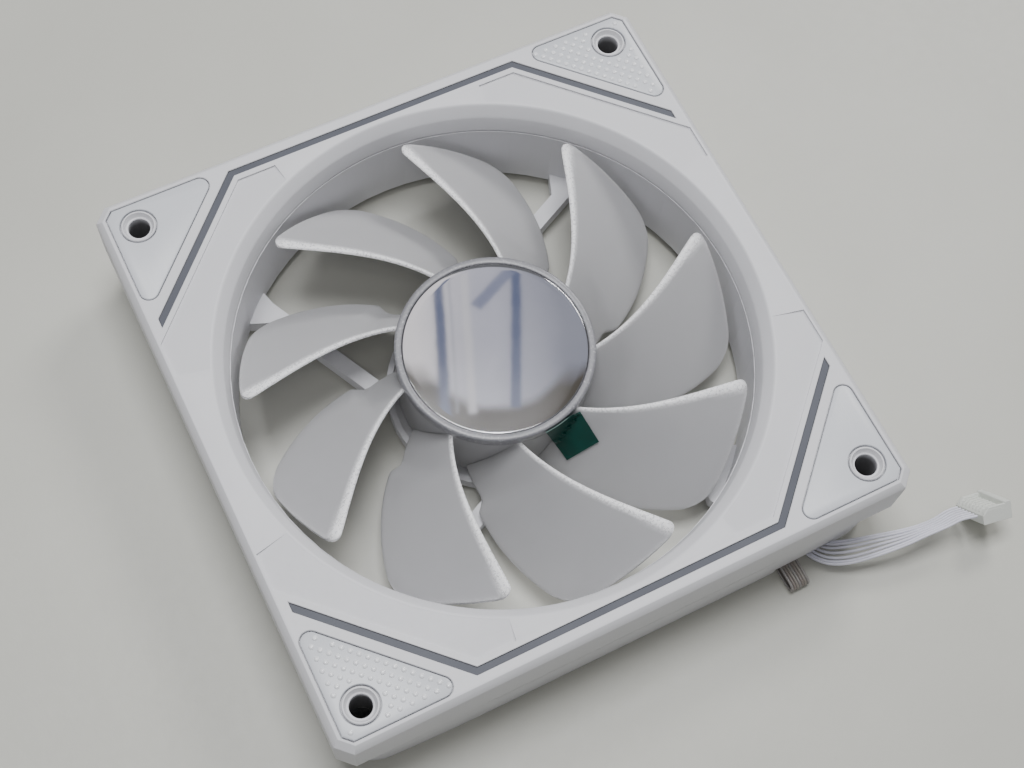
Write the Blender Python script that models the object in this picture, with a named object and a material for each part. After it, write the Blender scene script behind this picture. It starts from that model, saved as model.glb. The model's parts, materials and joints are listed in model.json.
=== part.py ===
"""A 120 mm computer case fan that stands on its rear face, with its front face up.

The axis of the fan is +Z through the origin, and the rear foot pads stand on z = 0.
Lengths below are in millimetres; meshes are scaled to metres by MM.
"""
import math

import bmesh
import bpy
from mathutils import Matrix, Vector

MM = 0.001

# Overall shape
HALF = 59.8              # half the width of the front cover
HEIGHT = 25.0            # rear foot pads to front face
SEAM = 13.0              # height of the seam between rear frame and front cover
GAP = 0.3                # clearance between neighbouring pieces
HOLE_OFFSET = 52.5       # screw holes lie on a 105 mm square
HOLE_RADIUS = 2.15
BOSS_RADIUS = 5.0
BOSS_RING_RADIUS = 3.4
FOOT_EYE = 2.9
WALL = 1.4

# Duct
DUCT_SEGMENTS = 72
DUCT_RADIUS = 51.4
DUCT_OUTER = 52.8
DUCT_TOP = 18.9
MOUTH_RADIUS = 54.2
COLLAR_RADIUS = 53.4
REAR_MOUTH = 52.2

# Rear frame
PLATE_BOTTOM = 0.9
PLATE_TOP = 3.2
FOOT_BOTTOM = 0.3
CORNER_RADIUS = 9.25
SIDE_BOW = 0.5           # a side draws in this much from its middle to its corners
SIDE_LOW = 1.2
SIDE_HIGH = 12.9
BASE_RADIUS = 21.5
TUBE_INNER = 4.0
TUBE_OUTER = 5.2
STRUT_OFFSET = 15.3      # distance of a strut's centre line from the axis
STRUT_ANGLE = 26.3       # direction of the first strut, in degrees
STRUT_TOP = 4.8
BAY_TOP = 3.4            # ceiling of the cable bay

# Impeller
BLADES = 9
ROOT_RADIUS = 18.3
TIP_RADIUS = 49.8
CUP_OUTER = 19.2
CUP_INNER = 17.4
RING_RADIUS = 19.6
MIRROR_RADIUS = 18.1

# Ribbon cable: seven bonded wires
RIBBON_WIDTH = 4.3
WIRE = 0.6
ROUTE_INNER = [(18.6, -9.6, 1.7), (22.0, -16.6, 1.7), (26.0, -24.8, 1.7), (30.0, -32.8, 1.7),
               (33.6, -39.6, 1.8), (37.2, -45.0, 1.9), (40.0, -49.0, 2.0)]
ROUTE_CABLE = [(41.2, -50.8, 2.0), (42.2, -54.5, 2.0), (43.0, -58.2, 2.3), (45.0, -60.9, 3.1),
               (48.6, -62.7, 4.2), (53.5, -64.0, 5.2), (59.0, -65.1, 5.9), (63.5, -65.6, 6.2),
               (67.3, -65.8, 6.25), (70.8, -65.65, 6.04), (73.7, -66.06, 5.7)]
ROUTE_LOOP = [(36.4, -49.2, 2.85), (36.4, -53.5, 2.85), (36.5, -58.4, 2.85), (36.6, -62.6, 2.8),
              (36.65, -63.7, 2.45), (36.7, -64.1, 1.6), (36.65, -63.7, 0.75), (36.6, -62.6, 0.4),
              (36.5, -58.4, 0.36), (36.4, -53.5, 0.36), (36.4, -49.2, 0.36)]
RETAINER = (31.9, -48.4, 46.6, -45.8)
PLUG_PLACE = (77.5, -66.6, 5.26)
PLUG_TURN = (-54.0, 6.6, -7.9)

WHITE = (0.80, 0.80, 0.83)
FROSTED = (0.62, 0.62, 0.65)
SLATE = (0.12, 0.13, 0.16)
PALE_GREY = (0.68, 0.70, 0.73)
RUBBER_GREY = (0.45, 0.46, 0.48)
BOARD_GREEN = (0.01, 0.10, 0.06)
STEEL = (0.55, 0.56, 0.58)
COPPER = (0.72, 0.34, 0.18)
BRONZE = (0.60, 0.42, 0.22)
FERRITE = (0.10, 0.10, 0.11)


# Materials and objects

def material(name, colour, roughness, metallic=0.0):
    """Return a Principled material of one colour, made on first use."""
    found = bpy.data.materials.get(name)
    if found:
        return found
    made = bpy.data.materials.new(name)
    made.use_nodes = True
    shader = made.node_tree.nodes["Principled BSDF"]
    shader.inputs["Base Color"].default_value = (*colour, 1.0)
    shader.inputs["Roughness"].default_value = roughness
    shader.inputs["Metallic"].default_value = metallic
    return made


def add_object(name, bm, skin, place=(0.0, 0.0, 0.0), turn=0.0):
    """Turn a bmesh in millimetres into a named object with outward faces."""
    bmesh.ops.remove_doubles(bm, verts=bm.verts, dist=1e-5)
    bmesh.ops.recalc_face_normals(bm, faces=bm.faces)
    bmesh.ops.scale(bm, vec=(MM, MM, MM), verts=bm.verts)
    mesh = bpy.data.meshes.new(name)
    bm.to_mesh(mesh)
    bm.free()
    mesh.shade_smooth()
    mesh.set_sharp_from_angle(angle=math.radians(35.0))
    made = bpy.data.objects.new(name, mesh)
    made.location = Vector(place) * MM
    made.rotation_euler = (0.0, 0.0, math.radians(turn))
    if skin:
        mesh.materials.append(skin)
    bpy.context.scene.collection.objects.link(made)
    return made


def hide(tool):
    """Mark an object as a cutter that is not part of the fan."""
    tool.hide_render = True
    tool.display_type = 'WIRE'
    return tool


def boolean(target, operation, bm, name):
    """Cut or join a bmesh to a target with an exact Boolean modifier."""
    tool = hide(add_object(name, bm, None))
    combine(target, operation, tool)
    return tool


def combine(target, operation, tool):
    modifier = target.modifiers.new(tool.name, 'BOOLEAN')
    modifier.operation = operation
    modifier.object = tool
    modifier.solver = 'EXACT'


# Solids

def loft(bm, rings):
    """Skin a list of closed rings with equal counts and cap both ends."""
    rows = [[bm.verts.new(point) for point in ring] for ring in rings]
    count = len(rows[0])
    for low, high in zip(rows, rows[1:]):
        for i in range(count):
            j = (i + 1) % count
            bm.faces.new((low[i], low[j], high[j], high[i]))
    bm.faces.new(list(reversed(rows[0])))
    bm.faces.new(rows[-1])
    return bm


def prism(bm, outline, low, high):
    return loft(bm, [[(x, y, low) for x, y in outline], [(x, y, high) for x, y in outline]])


def cylinder(bm, radius, low, high, centre=(0.0, 0.0), segments=24):
    return prism(bm, arc(centre, radius, 0.0, 360.0, segments)[:-1], low, high)


def lathe(bm, profile, segments=48):
    """Turn a closed (radius, height) loop about the Z axis; radius 0 lies on the axis."""
    columns = []
    for radius, height in profile:
        if radius == 0.0:
            columns.append([bm.verts.new((0.0, 0.0, height))] * segments)
        else:
            columns.append([bm.verts.new((x, y, height))
                            for x, y in arc((0.0, 0.0), radius, 0.0, 360.0, segments)[:-1]])
    for a, b in zip(columns, columns[1:] + columns[:1]):
        for i in range(segments):
            j = (i + 1) % segments
            corners = list(dict.fromkeys((a[i], a[j], b[j], b[i])))
            if len(corners) > 2:
                bm.faces.new(corners)
    return bm


def arc(centre, radius, start, end, steps):
    """Points on an arc, with both ends."""
    points = []
    for i in range(steps + 1):
        angle = math.radians(start + (end - start) * i / steps)
        points.append((centre[0] + radius * math.cos(angle), centre[1] + radius * math.sin(angle)))
    return points


def turned(points, degrees):
    turn = Matrix.Rotation(math.radians(degrees), 2)
    return [tuple(turn @ Vector(point)) for point in points]


def box_outline(x0, y0, x1, y1):
    return [(x0, y0), (x1, y0), (x1, y1), (x0, y1)]


def corners():
    """The four screw hole centres with the turn of each, counterclockwise from upper right."""
    return [(turned([(HOLE_OFFSET, HOLE_OFFSET)], 90.0 * k)[0], 90.0 * k) for k in range(4)]


# Outlines

def cut_square(half, cut):
    """A square with its corners cut at 45 degrees."""
    side = [(half, half - cut), (half - cut, half)]
    points = []
    for k in range(4):
        points += turned(side, 90.0 * k)
    return points


def side_inset(height):
    """How far the rear frame's side stands in from the front cover's side at a height."""
    if height < SIDE_LOW:
        return 0.5 + 0.7 * (SIDE_LOW - height) / (SIDE_LOW - FOOT_BOTTOM)
    return 0.5 - 0.45 * (height - SIDE_LOW) / (SIDE_HIGH - SIDE_LOW)


def soft_square(half, radius):
    """A square whose sides draw in a little towards its round corners."""
    flat = 28.0
    end = half - radius - SIDE_BOW
    side = [(half - SIDE_BOW * ((y - flat) / (end - flat)) ** 2, y) for y in (flat, 36.0, 43.0)]
    corner = arc((end, end), radius, 0.0, 90.0, 8)
    quarter = side + corner + [(y, x) for x, y in reversed(side)]
    points = []
    for k in range(4):
        points += turned(quarter, 90.0 * k)
    return points


def pad_outline(grow=0.0, edge=57.7, cut=1.6, near=38.37):
    """The rounded triangle of a corner pad, around its screw hole as origin."""
    tip_radius = 1.85 + grow
    far = edge - 1.85
    out = edge + grow
    points = arc((far, near), tip_radius, -135.0, 0.0, 6)
    points += [(out, out - cut), (out - cut, out)]
    points += arc((near, far), tip_radius, 90.0, 225.0, 6)
    return [(x - HOLE_OFFSET, y - HOLE_OFFSET) for x, y in points]


def foot_outline(grow=0.0):
    """The smaller rounded triangle of a rear foot pad."""
    return pad_outline(grow, 56.4, 2.2, 48.0)


def strip_outline(grow=0.0):
    """One light strip: a straight run along +y with a diagonal at each end."""
    end = 56.4 + grow
    high, low = 56.6 + grow, 55.4 - grow
    outer, inner = 88.4 + grow * math.sqrt(2.0), 86.6 - grow * math.sqrt(2.0)
    return [(-end, outer - end), (-end, inner - end), (low - inner, low), (inner - low, low),
            (end, inner - end), (end, outer - end), (outer - high, high), (high - outer, high)]


def strut_frame(steps):
    """Points given as distance along the first strut and distance left of its centre line."""
    along = Vector((math.cos(math.radians(STRUT_ANGLE)), math.sin(math.radians(STRUT_ANGLE))))
    across = Vector((-along.y, along.x))
    return [tuple(along * t + across * (STRUT_OFFSET + w)) for t, w in steps]


def strut_outline(left, right, flare_left, flare_right):
    """Plan of the first strut, from the motor base out to the duct."""
    steps = [(15.8, right), (46.5, right), (49.5, flare_right), (52.4, flare_right),
             (52.4, flare_left), (49.0, flare_left), (46.6, 0.6 * flare_left + 0.4 * left),
             (43.5, left), (15.8, left)]
    return strut_frame(steps)


# Front cover and its trim

def make_front_cover():
    white = material("cover_white", WHITE, 0.42)
    bm = bmesh.new()
    loft(bm, [[(x, y, SEAM + 0.2) for x, y in cut_square(HALF, 2.8)],
              [(x, y, HEIGHT - 1.2) for x, y in cut_square(HALF, 2.8)],
              [(x, y, HEIGHT) for x, y in cut_square(HALF - 1.2, 2.3)]])
    cover = add_object("front_cover", bm, white)

    inside = hide(add_object("cover_inside", prism(bmesh.new(), cut_square(HALF - WALL, 3.4), 10.0, 22.8),
                             None))
    bm = cylinder(bmesh.new(), COLLAR_RADIUS, DUCT_TOP + GAP, 24.0, segments=DUCT_SEGMENTS)
    boolean(inside, 'DIFFERENCE', bm, "cover_collar")
    bm = bmesh.new()
    for centre, _ in corners():
        cylinder(bm, BOSS_RADIUS, 8.0, 24.0, centre)
    boolean(inside, 'DIFFERENCE', bm, "cover_bosses")
    combine(cover, 'DIFFERENCE', inside)

    mouth = [(0.0, 10.0), (51.5, 10.0), (51.5, 19.5), (52.3, 22.7), (MOUTH_RADIUS, HEIGHT),
             (MOUTH_RADIUS + 0.8, HEIGHT + 1.0), (0.0, HEIGHT + 1.0)]
    boolean(cover, 'DIFFERENCE', lathe(bmesh.new(), mouth, DUCT_SEGMENTS), "cover_mouth")

    bm = bmesh.new()
    for k in range(2):
        prism(bm, turned(strip_outline(0.12), 180.0 * k), 20.0, 27.0)
    boolean(cover, 'DIFFERENCE', bm, "strip_slots")

    bm = bmesh.new()
    for centre, turn in corners():
        outline = [(x + centre[0], y + centre[1]) for x, y in turned(pad_outline(0.25), turn)]
        prism(bm, outline, HEIGHT - 1.1, HEIGHT + 1.0)
    pockets = hide(add_object("pad_pockets", bm, None))
    bm = bmesh.new()
    for centre, _ in corners():
        cylinder(bm, BOSS_RING_RADIUS, 20.0, 27.0, centre)
    boolean(pockets, 'DIFFERENCE', bm, "boss_rings")
    combine(cover, 'DIFFERENCE', pockets)

    bm = bmesh.new()
    for centre, _ in corners():
        rings = []
        for radius, height in ((HOLE_RADIUS, 10.0), (HOLE_RADIUS, 24.3), (2.5, 24.4), (2.9, 25.1),
                               (2.9, 26.5)):
            rings.append([(x, y, height) for x, y in arc(centre, radius, 0.0, 360.0, 24)[:-1]])
        loft(bm, rings)
    boolean(cover, 'DIFFERENCE', bm, "cover_holes")

    bm = bmesh.new()
    for k in range(4):
        add_recess(bm, 90.0 * k)
    boolean(cover, 'DIFFERENCE', bm, "corner_recesses")
    return cover


def add_recess(bm, turn):
    """A shallow corner recess, deepest at its outer edge and fading out at the duct's mouth."""
    depth = 0.35
    outer = [(22.8, 54.1), (26.8, 54.1), (30.8, 54.1)]
    for i in range(1, 6):
        outer.append((30.8 + 27.3 * i / 6, 54.1 - 27.3 * i / 6))
    outer += [(58.1, 26.8), (58.1, 23.1), (58.1, 19.4)]
    if round(turn) % 180:
        outer = [(y, x) for x, y in reversed(outer)]
    first = math.degrees(math.atan2(outer[0][1] - 2.6, outer[0][0]))
    last = math.degrees(math.atan2(outer[-1][1], outer[-1][0] - 2.6))
    inner = arc((0.0, 0.0), 54.7, first, last, len(outer) - 1)
    outer, inner = turned(outer, turn), turned(inner, turn)
    rings = []
    for (xo, yo), (xi, yi) in zip(outer, inner):
        rings.append([(xo, yo, HEIGHT - depth), (xi, yi, HEIGHT + 0.02), (xi, yi, HEIGHT + 0.8),
                      (xo, yo, HEIGHT + 0.8)])
    loft(bm, rings)


def make_corner_pads():
    pale = material("pad_grey", PALE_GREY, 0.38)
    for number, (centre, turn) in enumerate(corners(), start=1):
        pad = add_object(f"corner_pad_{number}", prism(bmesh.new(), pad_outline(), HEIGHT - 0.8, HEIGHT),
                         pale, (*centre, 0.0), turn)
        bm = cylinder(bmesh.new(), BOSS_RING_RADIUS + 0.3, 20.0, 27.0, centre)
        boolean(pad, 'DIFFERENCE', bm, f"corner_pad_eye_{number}")


def make_foot_pads():
    rubber = material("foot_rubber", RUBBER_GREY, 0.8)
    for number, (centre, turn) in enumerate(corners(), start=1):
        pad = add_object(f"foot_pad_{number}", prism(bmesh.new(), foot_outline(), 0.0, 0.9),
                         rubber, (*centre, 0.0), turn)
        bm = cylinder(bmesh.new(), FOOT_EYE, -1.0, 2.0, centre)
        boolean(pad, 'DIFFERENCE', bm, f"foot_pad_eye_{number}")


def make_light_strips():
    slate = material("strip_slate", SLATE, 0.3)
    green = material("board_green", BOARD_GREEN, 0.45)
    for k, side in enumerate(("upper", "lower")):
        add_object(f"light_strip_{side}", prism(bmesh.new(), strip_outline(), 22.0, HEIGHT - 0.3),
                   slate, turn=180.0 * k)
        add_object(f"led_board_{side}", prism(bmesh.new(), strip_outline(0.8), 19.8, 20.8), green,
                   turn=180.0 * k)


# Rear frame

def make_rear_frame():
    white = material("frame_white", WHITE, 0.45)
    rings = []
    for height in (FOOT_BOTTOM, SIDE_LOW, SIDE_HIGH):
        rings.append([(x, y, height) for x, y in soft_square(HALF - side_inset(height), CORNER_RADIUS)])
    frame = add_object("rear_frame", loft(bmesh.new(), rings), white)

    inside = hide(add_object("frame_inside", prism(bmesh.new(), soft_square(HALF - 1.9, 7.8),
                                                   PLATE_TOP, 14.0), None))
    bm = bmesh.new()
    for centre, _ in corners():
        cylinder(bm, BOSS_RADIUS, 2.0, 15.0, centre)
    boolean(inside, 'DIFFERENCE', bm, "frame_bosses")
    boolean(inside, 'DIFFERENCE', prism(bmesh.new(), box_outline(30.0, -62.0, 49.5, -40.0), 2.0, 5.2),
            "bay_ceiling")
    combine(frame, 'DIFFERENCE', inside)

    opening = [(0.0, -1.0), (REAR_MOUTH + 1.4, -1.0), (REAR_MOUTH, 1.2), (DUCT_RADIUS + 0.3, 2.6),
               (DUCT_RADIUS + 0.3, 14.0), (0.0, 14.0)]
    boolean(frame, 'DIFFERENCE', lathe(bmesh.new(), opening, DUCT_SEGMENTS), "frame_opening")
    duct = [(DUCT_RADIUS, 2.6), (DUCT_OUTER, 2.6), (DUCT_OUTER, DUCT_TOP), (DUCT_RADIUS, DUCT_TOP)]
    boolean(frame, 'UNION', lathe(bmesh.new(), duct, DUCT_SEGMENTS), "frame_duct")

    bm = bmesh.new()
    prism(bm, box_outline(-31.0, -63.0, 31.0, 63.0), -1.0, PLATE_BOTTOM)
    boolean(frame, 'DIFFERENCE', bm, "side_relief_y")
    bm = bmesh.new()
    prism(bm, box_outline(-63.0, -31.0, 63.0, 31.0), -1.0, PLATE_BOTTOM)
    boolean(frame, 'DIFFERENCE', bm, "side_relief_x")

    for k in range(4):
        wide = k == 3
        right, flare_right = (-5.9, -8.2) if wide else (-1.6, -2.2)
        plan = strut_outline(1.6, right, 6.4, flare_right)
        strut = prism(bmesh.new(), turned(plan, 90.0 * k), 1.4, STRUT_TOP)
        boolean(frame, 'UNION', strut, f"strut_{k + 1}")

    base = [(TUBE_INNER, 1.0), (BASE_RADIUS, 1.0), (BASE_RADIUS, 4.0), (20.3, 4.0), (20.3, 2.4),
            (TUBE_OUTER, 2.4), (TUBE_OUTER, 16.0), (TUBE_INNER, 16.0)]
    boolean(frame, 'UNION', lathe(bmesh.new(), base), "motor_base")

    bm = bmesh.new()
    for centre, _ in corners():
        cylinder(bm, HOLE_RADIUS, -2.0, 15.0, centre)
    boolean(frame, 'DIFFERENCE', bm, "frame_holes")
    bm = bmesh.new()
    for centre, turn in corners():
        outline = [(x + centre[0], y + centre[1])
                   for x, y in turned(foot_outline(0.25), turn)]
        prism(bm, outline, -1.0, 1.2)
    pockets = hide(add_object("foot_pockets", bm, None))
    bm = bmesh.new()
    for centre, _ in corners():
        cylinder(bm, FOOT_EYE - GAP, -2.0, 2.0, centre)
    boolean(pockets, 'DIFFERENCE', bm, "foot_rings")
    combine(frame, 'DIFFERENCE', pockets)

    groove = strut_frame([(13.4, -5.3), (56.0, -5.3), (56.0, -0.5), (13.4, -0.5)])
    boolean(frame, 'DIFFERENCE', prism(bmesh.new(), turned(groove, 270.0), -1.0, 2.95), "ribbon_groove")
    bay = [(30.6, -37.0), (36.5, -36.0), (42.0, -44.0), (45.2, -49.0), (45.2, -57.2), (47.2, -58.4),
           (47.2, -62.0), (33.4, -62.0), (33.4, -46.5)]
    boolean(frame, 'DIFFERENCE', prism(bmesh.new(), bay, -1.0, BAY_TOP), "cable_bay")
    seat = box_outline(RETAINER[0] - GAP, RETAINER[1] - GAP, RETAINER[2] + GAP, RETAINER[3] + GAP)
    boolean(frame, 'DIFFERENCE', prism(bmesh.new(), seat, -1.0, 1.35), "retainer_seat")

    bm = bmesh.new()
    for side in (-1.0, 1.0):
        prism(bm, box_outline(side * 60.0 - 1.2, -50.0, side * 60.0 + 1.2, 50.0), SEAM - 0.7, 15.0)
    boolean(frame, 'DIFFERENCE', bm, "side_grooves")
    return frame


def make_corner_sticker():
    """A thin sticker wrapped round the lower left corner of the rear frame."""
    green = material("sticker_green", (0.0, 0.045, 0.035), 0.35)
    rings = []
    for height in (3.6, 10.6):
        reach = HALF - side_inset(height) - CORNER_RADIUS - SIDE_BOW
        outer = arc((-reach, -reach), CORNER_RADIUS + 0.35, 192.0, 238.0, 8)
        inner = arc((-reach, -reach), CORNER_RADIUS + 0.15, 192.0, 238.0, 8)
        rings.append([(x, y, height) for x, y in outer + inner[::-1]])
    add_object("corner_sticker", loft(bmesh.new(), rings), green)


# Motor

def ring(name, skin, inner, outer, low, high, segments=32):
    profile = [(inner, low), (outer, low), (outer, high), (inner, high)]
    return add_object(name, lathe(bmesh.new(), profile, segments), skin)


def make_motor():
    steel = material("motor_steel", STEEL, 0.35, 1.0)
    green = material("board_green", BOARD_GREEN, 0.45)
    nylon = material("insulator_white", (0.75, 0.74, 0.70), 0.5)
    ring("motor_board", green, 5.6, 17.0, 4.6, 5.6)
    ring("bearing_sleeve", material("bronze", BRONZE, 0.4, 1.0), 1.8, 3.7, 4.6, 14.2, 24)
    ring("thrust_washer", nylon, 1.8, 3.6, 14.5, 15.0, 24)
    ring("stator_insulator_lower", nylon, 5.5, 7.2, 6.2, 7.6)
    ring("stator_insulator_upper", nylon, 5.5, 7.2, 12.4, 13.8)
    cap = cylinder(bmesh.new(), 3.7, 1.1, 2.6)
    add_object("bearing_cap", cap, nylon)
    label = cylinder(bmesh.new(), 14.5, 0.35, 0.6, segments=40)
    add_object("rear_label", label, material("label_silver", (0.7, 0.7, 0.7), 0.45, 0.3))

    core = ring("stator_core", steel, 5.5, 8.0, 7.9, 12.1)
    for k in range(4):
        shoe = arc((0.0, 0.0), 14.0, -32.0, 32.0, 8) + arc((0.0, 0.0), 12.8, 30.0, -30.0, 8)
        tooth = prism(bmesh.new(), turned(shoe, 90.0 * k), 8.0, 12.0)
        boolean(core, 'UNION', tooth, f"tooth_shoe_{k + 1}")
        neck = prism(bmesh.new(), turned(box_outline(7.0, -1.7, 13.2, 1.7), 90.0 * k), 7.95, 12.05)
        boolean(core, 'UNION', neck, f"tooth_neck_{k + 1}")
        coil = add_object(f"stator_coil_{k + 1}",
                          prism(bmesh.new(), turned(box_outline(8.4, -3.6, 12.2, 3.6), 90.0 * k), 6.2, 13.8),
                          material("coil_copper", COPPER, 0.35, 1.0))
        window = prism(bmesh.new(), turned(box_outline(7.0, -2.1, 14.0, 2.1), 90.0 * k), 7.6, 12.4)
        boolean(coil, 'DIFFERENCE', window, f"coil_window_{k + 1}")


# Rotor: every piece has its origin on the fan's axis

def leading_angle(radius):
    """Sweep of a blade's leading edge, in degrees, which eases off towards the tip."""
    span = radius - 20.0
    return -20.0 + 1.42 * span - 0.016 * span * span


def trailing_angle(radius):
    """Sweep of a blade's trailing edge, which is cut back in a small step close to the hub."""
    if radius < 25.6:
        return -40.5 - 1.75 * (25.6 - radius)
    if radius < 28.5:
        return -40.5 - 0.345 * (radius - 25.6)
    return -41.5 + 1.083 * (radius - 28.5)


def blade_point(radius, chord, side):
    """A point on a blade's skin: chord runs 0 to 1 from leading to trailing edge, side is +1 or -1."""
    tip = (radius - ROOT_RADIUS) / (TIP_RADIUS - ROOT_RADIUS)
    lead, trail = leading_angle(radius), trailing_angle(radius)
    angle = math.radians(lead + (trail - lead) * chord)
    lead_height = 19.4 + 2.4 * tip ** 0.7
    height = lead_height + (6.4 - lead_height) * chord ** 1.15
    half = (0.9 - 0.3 * tip) * (0.35 + 0.65 * math.sin(math.pi * min(1.0, chord * 1.1 + 0.15)) ** 0.5
                                if chord < 0.75 else 0.35 + 0.65 * (1.0 - chord) / 0.25 * 0.8)
    return (radius * math.cos(angle), radius * math.sin(angle), height + side * half)


def tip_round(chord):
    """How far the tip draws in at the two ends of its chord."""
    drawn = 0.0
    if chord < 0.12:
        drawn += 2.2 * (1.0 - math.sqrt(max(0.0, 1.0 - ((0.12 - chord) / 0.12) ** 2)))
    if chord > 0.88:
        drawn += 3.0 * (1.0 - math.sqrt(max(0.0, 1.0 - ((chord - 0.88) / 0.12) ** 2)))
    return drawn


def add_blade(bm, turn):
    chords = [0.0, 0.04, 0.12, 0.32, 0.54, 0.74, 0.9, 1.0]
    spans = [0.0, 0.1, 0.232, 0.324, 0.48, 0.66, 0.84, 1.0]
    rings = []
    for span in spans:
        ring_points = []
        for side, order in ((1.0, chords), (-1.0, reversed(chords))):
            for chord in order:
                outer = TIP_RADIUS - tip_round(chord)
                radius = ROOT_RADIUS + (outer - ROOT_RADIUS) * span
                x, y, z = blade_point(radius, chord, side)
                ring_points.append((*turned([(x, y)], turn)[0], z))
        rings.append(ring_points)
    loft(bm, rings)


def make_impeller():
    frosted = material("blade_frosted", FROSTED, 0.5)
    cup = [(4.0, 17.9), (CUP_INNER, 17.9), (CUP_INNER, 5.0), (CUP_OUTER, 5.0), (CUP_OUTER, 20.2),
           (4.0, 20.2)]
    impeller = add_object("impeller", lathe(bmesh.new(), cup, 60), frosted)
    bm = bmesh.new()
    for k in range(BLADES):
        add_blade(bm, 360.0 / BLADES * k)
    boolean(impeller, 'UNION', bm, "blades")
    return impeller


def make_rotor():
    steel = material("motor_steel", STEEL, 0.35, 1.0)
    clear = material("ring_clear", (0.55, 0.55, 0.58), 0.2)
    mirror = material("mirror", (0.85, 0.86, 0.9), 0.04, 1.0)
    hub_ring = [(18.4, 20.5), (RING_RADIUS, 20.5), (RING_RADIUS, 22.8), (RING_RADIUS - 0.4, 23.2),
                (18.4, 23.2)]
    dome = [(0.0, 20.6), (MIRROR_RADIUS - 0.05, 20.6), (MIRROR_RADIUS - 0.05, 22.4), (17.2, 22.85),
            (9.0, 23.25), (0.0, 23.4)]
    yoke = [(1.8, 16.5), (16.3, 16.5), (16.3, 6.2), (17.0, 6.2), (17.0, 17.5), (1.8, 17.5)]
    pieces = [make_impeller(),
              add_object("hub_ring", lathe(bmesh.new(), hub_ring), clear),
              add_object("mirror_cap", lathe(bmesh.new(), dome), mirror),
              add_object("rotor_yoke", lathe(bmesh.new(), yoke, 32), steel),
              ring("magnet_ring", material("ferrite", FERRITE, 0.6), 14.7, 16.0, 6.6, 15.6),
              ring("retaining_clip", steel, 1.75, 3.0, 3.2, 3.7, 24),
              add_object("shaft", cylinder(bmesh.new(), 1.45, 2.9, 19.6, segments=20), steel),
              make_blade_sticker()]
    axis = bpy.data.objects.new("rotor_axis", None)
    bpy.context.scene.collection.objects.link(axis)
    for piece in pieces:
        piece.parent = axis


def blade_top(x, y, turn):
    """Height of a blade's front skin over a point of the plan."""
    radius = math.hypot(x, y)
    lead, trail = leading_angle(radius), trailing_angle(radius)
    chord = (math.degrees(math.atan2(y, x)) - turn - lead) / (trail - lead)
    return blade_point(radius, min(1.0, max(0.0, chord)), 1.0)[2]


def press_down(x, y, turn, wall, lift):
    """Slide a point down a slant until it meets the side of the hub or the front of a blade."""
    height = 22.9
    while True:
        px, py = x + 0.26 * (25.0 - height), y + 0.294 * (25.0 - height)
        radius = math.hypot(px, py)
        if radius < wall:
            return px * wall / radius, py * wall / radius, height
        if height < blade_top(px, py, turn) + lift:
            return px, py, height
        height -= 0.004


def make_blade_sticker():
    """A soft square label pressed into the corner between the hub and the blade at the lower right."""
    green = material("sticker_green", (0.0, 0.045, 0.035), 0.35)
    near_hub, near_edge, far_edge, far = (0.1, -19.9), (8.1, -19.6), (8.6, -26.7), (1.1, -27.4)
    steps = 10
    bm = bmesh.new()
    layers = []
    for wall, lift in ((20.0, 0.35), (20.2, 0.55)):
        layer = []
        for i in range(steps + 1):
            for j in range(steps + 1):
                u, v = i / steps, j / steps
                x, y = [(a * (1 - u) + b * u) * (1 - v) + (d * (1 - u) + c * u) * v
                        for a, b, c, d in zip(near_hub, near_edge, far_edge, far)]
                layer.append(bm.verts.new(press_down(x, y, -40.0, wall, lift)))
        layers.append(layer)
    add_slab_faces(bm, layers, steps + 1, steps + 1)
    return add_object("blade_sticker", bm, green)


def add_slab_faces(bm, layers, rows, columns):
    """Close two grids of points, one above the other, into a thin slab."""
    for layer in layers:
        for i in range(rows - 1):
            for j in range(columns - 1):
                a = i * columns + j
                bm.faces.new([layer[k] for k in (a, a + columns, a + columns + 1, a + 1)])
    rim = [i * columns for i in range(rows)]
    rim += [(rows - 1) * columns + j for j in range(1, columns)]
    rim += [i * columns + columns - 1 for i in range(rows - 2, -1, -1)]
    rim += list(range(columns - 2, 0, -1))
    low, high = layers
    for a, b in zip(rim, rim[1:] + rim[:1]):
        bm.faces.new((low[a], low[b], high[b], high[a]))


# Cable

def smooth_route(points, count):
    """Points at even parameter steps on a smooth curve through the route's own points."""
    nodes = [Vector(point) for point in points]
    nodes = [nodes[0] * 2.0 - nodes[1]] + nodes + [nodes[-1] * 2.0 - nodes[-2]]
    spans = len(points) - 1
    made = []
    for i in range(count):
        place = i * spans / (count - 1)
        k = min(int(place), spans - 1)
        t = place - k
        a, b, c, d = nodes[k:k + 4]
        made.append(0.5 * ((2.0 * b) + (c - a) * t + (2.0 * a - 5.0 * b + 4.0 * c - d) * t * t
                           + (3.0 * b - a - 3.0 * c + d) * t ** 3))
    return made


def ease(value, start, end):
    """Rise smoothly from 0 to 1 between two values."""
    t = min(1.0, max(0.0, (value - start) / (end - start)))
    return t * t * (3.0 - 2.0 * t)


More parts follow.
